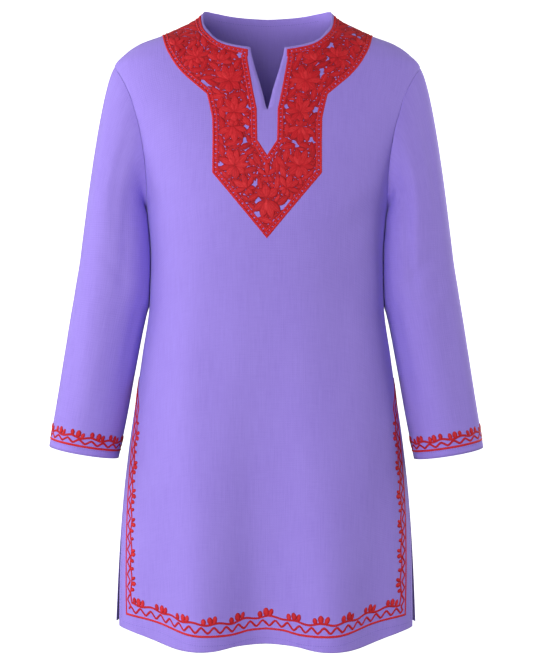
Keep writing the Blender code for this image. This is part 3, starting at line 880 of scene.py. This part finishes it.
# Yoke: its outer and inner lines as distance from the middle and height, in millimetres
yokeSet = {
    "outer": [
        [(149.0, -35.2), (146.6, -41.0), (141.6, -57.5), (135.0, -72.0), (125.4, -88.0), (112.2, -103.8),
         (97.6, -117.2), (81.6, -131.5)],
        [(81.6, -131.5), (77.2, -150.0), (73.8, -169.0), (73.2, -205.0), (73.2, -240.5)],
        [(73.2, -240.5), (36.6, -284.5), (0.0, -328.5)],
    ],
    "inner": [
        [(94.4, -3.4), (93.6, -13.0), (90.4, -28.6), (80.6, -43.6), (64.9, -56.6), (44.2, -63.2),
         (26.8, -66.6)],
        [(26.8, -66.6), (26.9, -77.0)],
        [(26.9, -77.0), (28.0, -78.0)],
        [(28.0, -78.0), (25.9, -90.7), (22.6, -109.6), (19.2, -129.0), (14.3, -153.0)],
        [(14.3, -153.0), (13.4, -197.0)],
        [(13.4, -197.0), (0.0, -218.0)],
    ],
    # step along these lines, step along a cord, and least share of its distance that a cord keeps
    "step": 3.0, "cordStep": 0.75, "keep": 0.96,
    # edge cord and inner cord: distance in from the edge, half width, height, tone
    "cords": [(1.5, 2.05, 1.2, 0.64), (6.5, 1.6, 1.2, 0.66)],
    # bars between them: distance in, width, spacing, length, and how far each may stray
    "bars": (4.3, 3.105, 6.2, 5.6, 0.35), "barSeed": 3,
    # shoulder seam: from and to, points, and its cord's distance below, half width, height, tone
    "seam": (92.5, 148.5, 28), "seamCord": (1.2, 1.1, 0.7, 0.22),
    # blossoms: distance from the middle, height, direction, petal length, petals, spread, cup
    "blossoms": [
        (127.0, -59.0, 28, 21.0, 5, 150, 0.62), (104.0, -80.0, 196, 19.0, 4, 110, 0.0),
        (96.0, -78.0, 12, 22.0, 5, 150, 0.55), (66.0, -84.0, -20, 23.0, 5, 150, 0.0),
        (52.0, -113.0, 2, 27.0, 6, 170, 0.72), (44.0, -158.0, -4, 25.0, 5, 150, 0.60),
        (46.0, -178.0, 184, 25.0, 5, 130, 0.40), (43.0, -232.0, 6, 25.0, 6, 180, 0.70),
        (26.0, -262.0, 40, 21.0, 4, 130, 0.50),
    ],
    "middle": [(0.0, -246.0, 0, 19.0, 3, 96, 0.55), (0.0, -276.0, 180, 28.0, 4, 84, 0.66)],
    # leaves, largest first: length and width, least share that lies on bare cloth, places tried
    "fillers": [(22.0, 10.4), (19.0, 9.0), (16.0, 7.8), (13.0, 6.6), (10.0, 5.4)],
    "overlap": [0.74, 0.74, 0.75, 0.76, 0.78],
    "tries": [2200, 2600, 3000, 3200, 3200],
    # low leaves that lie under the rest and close the slivers between them
    "under": (10.0, 4.6), "passes": 14, "atOnce": 60, "square": 3, "sliver": 0.27,
    # distance from the yoke's lines that bare cloth, petals and low leaves keep, and the share of a
    # petal and of a low leaf that keeps it; a squared distance from the shoulder seam counts many times
    "inset": 8.3, "petalIn": 6.8, "lowIn": 5.8, "petalShare": 0.93, "lowShare": 0.95, "seamWeight": 14,
    # half width and height of the grid for it, in metres
    "grid": (0.150, 0.44), "seed": 11,
}


def toChart(part):
    return [(x / 1000, chartUp(x / 1000, z / 1000)) for x, z in part]


def bothSides(half):
    # The path down one side and up the other, through the middle
    return np.concatenate([half, (half * [-1, 1])[::-1][1:]])


def seamLine(near, far, count):
    xs = np.linspace(near / 1000, far / 1000, count)
    return np.array([(x, chartV[int(round(x / chartXs[1])), -1]) for x in xs])


outerHalf, innerHalf = [roundedPath([toChart(part) for part in yokeSet[name]], yokeSet["step"] / 1000)
                        for name in ("outer", "inner")]
seamHalf = seamLine(*yokeSet["seam"])
print("yoke lines:", len(outerHalf), len(innerHalf))


def insetPath(s, half, distance, inward):
    # A line set off from the edge; steps that would turn back on themselves are left out
    whole = bothSides(half)
    moved = whole + pathNormals(whole) * distance / 1000 * inward
    gap = np.sqrt(((moved[:, None] - whole[None]) ** 2).sum(axis=2)).min(axis=1)
    moved = moved[gap > distance / 1000 * s["keep"]]
    return evenPath(moved, s["cordStep"] / 1000)


def addBand(store, s):
    # Two cords along each edge of the yoke, and a row of short bars between them
    rng = np.random.default_rng(s["barSeed"])
    for half, inward in ((outerHalf, -1), (innerHalf, 1)):
        for distance, wide, rise, tone in s["cords"]:
            addCord(store, yokePlace, insetPath(s, half, distance, inward), wide, rise, tone)
        distance, wide, gap, bar, stray = s["bars"]
        path = insetPath(s, half, distance, inward)
        at = np.arange(gap / 2000, lengthsAlong(path)[-1], gap / 1000)
        at = at + rng.uniform(-stray, stray, len(at)) / 1000
        here, ahead, turn = marksAlong(path, at)
        addPads(store, yokePlace, equalPads(here - ahead * bar / 2000, turn, bar, wide, 0, 0.45, 0.50, 0.1),
                rows=6, cols=5, threads=1.0, sharp=0.16)
    # a dark cord closes the yoke along each shoulder seam
    below, wide, rise, tone = s["seamCord"]
    for side in (1, -1):
        path = evenPath(seamHalf * [side, 1] - [0, below / 1000], s["cordStep"] / 1000)
        addCord(store, yokePlace, path, wide, rise, tone)


def blossomPads(u, v, turn, long, count, spread, cup, rng):
    # Petals fan about the direction, shorter ones lie on them, and a cup closes the foot
    rows = []
    angles = np.linspace(-spread / 2, spread / 2, count)
    for k in np.argsort(-np.abs(angles)):
        angle = angles[k] + rng.uniform(-4, 4)
        size = long * (1.0 - 0.20 * abs(angles[k]) / 90) * rng.uniform(0.94, 1.05)
        rows.append((u, v, turn + angle, size, size * rng.uniform(0.47, 0.54), rng.uniform(-1.2, 1.2),
                     0.95, rng.uniform(0.42, 0.62), 0.50))
    for k in range(count - 3):
        angle = (k - (count - 4) / 2) * 34 + rng.uniform(-5, 5)
        size = long * rng.uniform(0.52, 0.62)
        rows.append((u, v, turn + angle, size, size * 0.50, rng.uniform(-0.6, 0.6), 1.0,
                     rng.uniform(0.50, 0.70), 0.85))
    if cup:
        for angle in (-46, 44, -2):
            size = long * cup * rng.uniform(0.92, 1.06)
            rows.append((u, v, turn + 180 + angle, size, size * 0.78, rng.uniform(-0.5, 0.5), 1.05,
                         rng.uniform(0.42, 0.62), 0.3 if angle != -2 else 0.8))
    return rows


def yokeGround(s):
    # A 1 mm grid over the yoke: which cells lie inside it, and their squared distance from its lines
    wide, high = s["grid"]
    us = np.arange(-wide, wide + 0.0001, yokeChart["cell"])
    vs = np.arange(0.0, high, yokeChart["cell"])
    gridU, gridV = np.meshgrid(us, vs)
    outer, inner = bothSides(outerHalf), bothSides(innerHalf)
    seam = [(seamHalf * [side, 1])[::3] for side in (1, -1)]
    ring = np.concatenate([outer, seam[1][::-1], inner[::-1], seam[0]])
    inside = np.zeros(gridU.shape, bool)
    for (x0, y0), (x1, y1) in zip(ring, np.roll(ring, -1, axis=0)):
        if y0 != y1:
            cut = (x1 - x0) * (gridV - y0) / (y1 - y0) + x0
            inside ^= ((y0 > gridV) != (y1 > gridV)) & (gridU < cut)
    near = np.full(gridU.shape, 1.0)
    for spots, weight in ((np.concatenate([outer[::2], inner[::2]]), 1),
                          (np.concatenate(seam), s["seamWeight"])):
        for x, y in spots:
            near = np.minimum(near, ((gridU - x) ** 2 + (gridV - y) ** 2) * weight)
    return us, vs, gridU, gridV, inside, near


def fillYoke(s):
    # Lays blossoms by the table, then leaves where cloth is still bare
    rng = np.random.default_rng(s["seed"])
    us, vs, gridU, gridV, inside, near = yokeGround(s)
    free = inside & (np.sqrt(near) > s["inset"] / 1000)
    room = free.copy()

    def covered(row, fat, sharp=0.75, grow=0.15):
        u, v, turn, long, wide, bend = row[:6]
        reach = long / 1000 + 0.002
        j0, j1 = np.searchsorted(us, [u - reach, u + reach])
        i0, i1 = np.searchsorted(vs, [v - reach, v + reach])
        window = (slice(i0, i1), slice(j0, j1))
        du, dv = (gridU[window] - u) * 1000, (gridV[window] - v) * 1000
        sine, cosine = math.sin(math.radians(turn)), math.cos(math.radians(turn))
        t = (du * sine + dv * cosine) / long
        aside = -du * cosine + dv * sine - bend * np.sin(np.clip(t, 0, 1) * math.pi / 2) ** 2
        shape = (t > 0) & (t < 1) & (np.abs(aside) < wide / 2 * padHalf(t, sharp, fat) + grow)
        return window, shape

    petals, leaves = [], []
    table = [(x * side, z, turn * side, *rest) for x, z, turn, *rest in s["blossoms"] for side in (-1, 1)]
    for x, z, turn, long, count, spread, cup in table + s["middle"]:
        u, v = x / 1000, chartUp(x / 1000, z / 1000)
        petals += blossomPads(u, v, turn, long, count, spread, cup, rng)
    kept = []
    for row in petals:
        window, shape = covered(row, 1.3)
        held = (shape & inside[window] & (near[window] > (s["petalIn"] / 1000) ** 2)).sum()
        if shape.sum() and held > s["petalShare"] * shape.sum():
            kept.append(row)
            room[window] &= ~shape
    for (long, wide), tries, least in zip(s["fillers"], s["tries"], s["overlap"]):
        bare = np.argwhere(room)
        for spot in bare[rng.integers(0, len(bare), tries)]:
            if not room[spot[0], spot[1]]:
                continue
            size = long * rng.uniform(0.88, 1.12)
            turn = rng.uniform(0, 360)
            row = (us[spot[1]], vs[spot[0]], turn, size, wide * rng.uniform(0.9, 1.15),
                   rng.uniform(-1, 1) * size * 0.14, 0.70, rng.uniform(0.36, 0.62), rng.uniform(0.0, 0.25))
            window, shape = covered(row, 0.95)
            total = shape.sum()
            if total and (shape & room[window]).sum() > least * total:
                leaves.append(row)
                room[window] &= ~shape
    long, wide = s["under"]
    low = []
    for _ in range(s["passes"]):
        # share of bare cloth round each cell, from sums over a small square
        square = 2 * s["square"] + 1
        sums = np.pad(room.astype(float), s["square"] + 1)[:-1, :-1].cumsum(0).cumsum(1)
        around = (sums[square:, square:] - sums[:-square, square:] - sums[square:, :-square]
                  + sums[:-square, :-square]) / square ** 2
        thin = np.argwhere(room & (around < s["sliver"]))
        for spot in thin[rng.permutation(len(thin))[:s["atOnce"]]]:
            if not room[spot[0], spot[1]]:
                continue
            turn = rng.uniform(0, 360)
            size = long * rng.uniform(0.7, 1.2)
            foot = [us[spot[1]] - math.sin(math.radians(turn)) * size / 2000,
                    vs[spot[0]] - math.cos(math.radians(turn)) * size / 2000]
            row = (*foot, turn, size, wide * rng.uniform(0.8, 1.2), 0.0, 0.40, rng.uniform(0.20, 0.36), 0.0)
            window, shape = covered(row, 1.0)
            held = (shape & inside[window] & (near[window] > (s["lowIn"] / 1000) ** 2)).sum()
            if shape.sum() and held > s["lowShare"] * shape.sum():
                low.append(row)
                room[window] &= ~shape
    print("yoke:", len(kept), "petals,", len(leaves), "leaves,", len(low), "low leaves, share covered",
          round(1 - room.sum() / free.sum(), 3))
    return kept, leaves, low


def makeYoke(s):
    store = []
    addBand(store, s)
    petals, leaves, low = fillYoke(s)
    addPads(store, yokePlace, low, rows=7, cols=5, threads=1.0)
    addPads(store, yokePlace, petals, rows=13, cols=11, fat=1.3, threads=4.0)
    addPads(store, yokePlace, leaves, rows=9, cols=9, fat=0.95, threads=3.0)
    piece = bindThreads("yokeEmbroidery", store, thread)
    standFor(piece, "neck_embroidery")
    return piece


yoke = makeYoke(yokeSet)
print("yoke made:", len(yoke.data.polygons), "quads")

# Borders of one line, a zigzag, and a wavy stem with buds, distances in millimetres in from the edge
borderSet = {
    "hem": {"line": 21.0, "low": 25.2, "high": 32.6, "wave": 17.4, "stem": 37.0, "gap": 36.0, "bud": 10.6},
    "cuff": {"line": 11.6, "low": 15.2, "high": 20.0, "wave": 17.2, "stem": 23.2, "gap": 28.18, "bud": 9.4},
    "slit": {"line": 24.0, "low": 27.6, "high": 33.4, "wave": 17.0, "stem": 36.0, "gap": 40.0, "bud": 9.0},
    # cords: half width, height, tone, and step in metres
    "half": 1.8, "rise": 0.9, "tones": {"line": 0.66, "stem": 0.52, "zigzag": 0.50}, "step": 0.0011,
    # the hem's buds stop short of the corner; heights on a slit: its buds, and where the lines end
    "short": 14.0, "buds": (-801.0, -570.0), "stop": -519.0, "seed": 5,
    "tips": {"line": -528.0, "stem": -517.0, "zigzag": -523.0}, "tipRun": 45.0, "tipLeast": 0.02,
}
budGrid = {"rows": 8, "cols": 7, "sharp": 0.46, "fat": 1.0, "threads": 2.0}


def zigzag(along, own, wave):
    turn = along / (wave / 1000) * 2 * math.pi
    shape = 0.35 * np.arcsin(np.sin(turn)) * 2 / math.pi + 0.65 * np.sin(turn)
    return (own["low"] + own["high"]) / 2000 + (own["high"] - own["low"]) / 2000 * shape


def stemLine(along, own):
    return own["stem"] / 1000 + 0.0014 * np.sin(along / (own["gap"] / 1000) * 2 * math.pi + 0.6)


def lineAcross(key, along, start, own, wave):
    # Distance in from the edge, in metres, of one of a border's three lines
    if key == "zigzag":
        return zigzag(along - start, own, wave)
    return stemLine(along, own) if key == "stem" else own["line"] / 1000 + 0 * along


def lineMiddle(key, own):
    return ((own["low"] + own["high"]) / 2 if key == "zigzag" else own[key]) / 1000


def clusterPads(along, own, rng, single):
    # Three buds at each place: a low one, a tall one and a leaning one; or one upright bud alone
    parts = [(-8.3, -4, 0.84, 0.82), (0.0, 0, 1.06, 0.78), (5.0, 20, 0.96, 0.66)]
    if single:
        parts = [(0.0, 0, 0.80, 0.76)]
    rows = []
    for at in along:
        for shift, lean, size, wide in parts:
            long = own["bud"] * size * rng.uniform(0.93, 1.08)
            where = at + (shift + rng.uniform(-0.7, 0.7)) / 1000
            rows.append((where, float(stemLine(where, own)) - 0.0002, lean + rng.uniform(-7, 7),
                         long, long * wide, rng.uniform(-0.4, 0.4), 0.95, rng.uniform(0.46, 0.66), 0.15))
    return rows


def turned(place):
    # Lets a border be drawn along the second direction of a chart
    def swapped(u, v, lift=0.0):
        return place(v, u, lift)
    return swapped


def makeBorders(s):
    store = []
    rng = np.random.default_rng(s["seed"])
    hem, slit, cuff = s["hem"], s["slit"], s["cuff"]

    def addLine(place, key, along, across):
        addCord(store, place, np.stack([along, across], -1), s["half"], s["rise"], s["tones"][key], across=4)

    def addBuds(place, where, own, single=False):
        addPads(store, place, clusterPads(where, own, rng, single), **budGrid)

    for face in (-1, 1):
        place, length = hemPlace(face)
        for key in s["tones"]:
            # lines stop where those of the slits begin, so that they meet in mitred corners
            end = length - lineMiddle(key, slit)
            along = np.arange(-end, end + s["step"], s["step"])
            wave = 2000 * end / round(2000 * end / hem["wave"])      # whole waves from corner to corner
            addLine(place, key, along, lineAcross(key, along, -end, hem, wave))
        end = length - lineMiddle("stem", slit) - s["short"] / 1000
        addBuds(place, np.linspace(-end, end, int(round(2 * end / (hem["gap"] / 1000)))), hem)
        for side in (1, -1):
            edge = turned(slitPlace(face, side))
            for key in s["tones"]:
                corner = place(length - lineMiddle(key, slit), np.array([lineMiddle(key, hem)]))[0, 2]
                along = np.arange(corner, s["stop"] / 1000, s["step"])
                # above the slit the lines run together and end in a point on the side seam
                close = np.clip((s["tips"][key] - along * 1000) / s["tipRun"], 0, 1) ** 0.6
                across = lineAcross(key, along, corner, slit, slit["wave"]) * close
                keep = close > s["tipLeast"]
                addLine(edge, key, along[keep], across[keep])
            where = np.arange(s["buds"][0] / 1000, s["buds"][1] / 1000, slit["gap"] / 1000)
            addBuds(edge, where, slit)
            addBuds(edge, where + slit["gap"] / 2000, slit, True)
    gap = cuff["gap"] / 1000
    for side in (1, -1):
        place = cuffPlace(side)
        along = np.arange(0.0, cuffGirth + 1e-6, s["step"])
        for key in s["tones"]:
            addLine(place, key, along, lineAcross(key, along, 0.0, cuff, cuff["wave"]))
        addBuds(place, np.arange(gap / 2, cuffGirth - gap / 4, gap), cuff)
    piece = bindThreads("borderEmbroidery", store, thread)
    standFor(piece)
    return piece


borders = makeBorders(borderSet)
print("borders made:", len(borders.data.polygons), "quads")

# Machine stitches that hold the turned edges, distances in millimetres; they are drawn a little
# longer and wider than real ones, so that they show
stitchSet = {"in": 8.6, "gap": 3.4, "long": 2.5, "wide": 0.75, "rise": 0.22,
             "neckIn": 9.0, "neckHalf": 78.0, "belowSlitTop": 4.0}


def addStitches(store, place, along, inset, s):
    # A row of stitches at one distance in from an edge
    path = np.stack([along, inset / 1000 + 0 * along], -1)
    gap = s["gap"] / 1000
    foot, _, turn = marksAlong(path, np.arange(gap, lengthsAlong(path)[-1] - gap, gap))
    addPads(store, place, equalPads(foot, turn, s["long"], s["wide"], 0, s["rise"], 0.5, 0.05),
            rows=4, cols=4, threads=1.0, sharp=0.3)


def backNeckPlace(u, v, lift=0.0):
    # On the inner side of the back: u from the middle, v down from the neckline
    rows = [row for row in panelSet["back"]["edge"] if row[0] >= panelSet["back"]["joined"]]
    z = np.interp(np.abs(u) * 1000, [row[1] for row in rows], [row[2] for row in rows]) / 1000 - v
    angle = angleAt(u, z) * np.where(u < 0, -1.0, 1.0)
    return bodyPoint(angle, z, 1, -panelSet["thickness"] / 1000 - lift)


def makeStitches(s):
    store = []
    inset = s["in"] / 1000
    for face in (-1, 1):
        place, length = hemPlace(face)
        addStitches(store, place, np.linspace(-length + inset, length - inset, 300), s["in"], s)
        for side in (1, -1):
            foot = place(length - inset, np.array([inset]))[0, 2]
            along = np.linspace(foot, inMetres("slitTop") - s["belowSlitTop"] / 1000, 200)
            addStitches(store, turned(slitPlace(face, side)), along, s["in"], s)
    for side in (1, -1):
        addStitches(store, cuffPlace(side), np.linspace(0, cuffGirth, 200), s["in"], s)
    half = s["neckHalf"] / 1000
    addStitches(store, backNeckPlace, np.linspace(-half, half, 120), s["neckIn"], s)
    piece = bindThreads("hemStitches", store, sewing)
    standFor(piece)
    return piece


stitches = makeStitches(stitchSet)
print("stitches made:", len(stitches.data.polygons), "quads")

# Studio: a pale round floor that sweeps up into a wall on every side, in metres
stageSet = {"floor": -2.1, "flat": 3.6, "round": 0.9, "high": 4.7, "around": 96, "steps": 16,
            "glow": 0.97}


def makeStage(s):
    # Profile of the sweep as radius and height, turned about the middle: floor, quarter circle, wall
    bend = np.linspace(0, math.pi / 2, s["steps"])
    radius = np.concatenate([[0.0], s["flat"] + s["round"] * np.sin(bend), [s["flat"] + s["round"]]])
    z = np.concatenate([[0.0], s["round"] * (1 - np.cos(bend)), [s["high"]]]) + s["floor"]
    turn = np.arange(s["around"]) * 2 * math.pi / s["around"]
    points = np.stack([radius[:, None] * np.cos(turn), radius[:, None] * np.sin(turn),
                       np.repeat(z[:, None], s["around"], 1)], -1)
    material, tree, shader = newMaterial("paleFloor")
    place = addNode(tree, "ShaderNodeTexCoord")
    speck = addNode(tree, "ShaderNodeTexNoise", {"Scale": 6.0, "Detail": 2.0},
                    {"Vector": place.outputs["Object"]})
    bump = addNode(tree, "ShaderNodeBump", {"Strength": 0.02}, {"Height": speck.outputs["Fac"]})
    tree.links.new(bump.outputs["Normal"], shader.inputs["Normal"])
    shader.inputs["Base Color"].default_value = linear("floor")
    shader.inputs["Roughness"].default_value = 0.9
    shader.inputs["Emission Color"].default_value = (1.0, 1.0, 1.0, 1.0)
    shader.inputs["Emission Strength"].default_value = s["glow"]
    stage = newPiece("studioSweep", points, gridFaces(points.shape[:2], roundAbout=True), material)
    mergeDoubles(stage)
    stage.visible_diffuse = False         # the sweep is seen, but sends no light back at the cloth
    stage.visible_glossy = False


# place, aimed at, size in metres, power in watts
lightSet = {
    "key": ((-2.75, -1.3, -0.10), (0.0, 0.0, -0.45), 1.1, 18.0),
    "fill": ((1.9, -2.6, -0.5), (0.0, 0.0, -0.5), 1.4, 10.0),
    "front": ((-1.15, -2.9, -0.55), (0.0, 0.0, -0.45), 2.8, 79.0),
    "back": ((1.9, 2.6, 0.0), (0.0, 0.0, -0.45), 1.2, 46.0),
    "rimLeft": ((-2.3, 0.4, 0.6), (0.4, 2.0, -0.6), 1.6, 42.0),
    "rimRight": ((2.3, 0.4, 0.6), (-0.4, 2.0, -0.6), 1.6, 38.0),
}
worldLight = 0.04


def makeLights(table):
    for name, (place, aim, size, power) in table.items():
        data = bpy.data.lights.new(name, "AREA")
        data.size = size
        data.energy = power
        light = bpy.data.objects.new(name, data)
        light.location = place
        light.visible_camera = False          # no lamp shows in a view from behind or the side
        light.rotation_euler = (Vector(aim) - Vector(place)).to_track_quat("-Z", "Y").to_euler()
        bpy.context.scene.collection.objects.link(light)
    world = bpy.data.worlds.new("studioAir")
    world.use_nodes = True
    world.node_tree.nodes["Background"].inputs["Strength"].default_value = worldLight
    world.node_tree.nodes["Background"].inputs["Color"].default_value = (1.0, 1.0, 1.0, 1.0)
    bpy.context.scene.world = world
    bpy.context.scene.view_settings.view_transform = "Standard"


makeStage(stageSet)
makeLights(lightSet)
print("studio made")
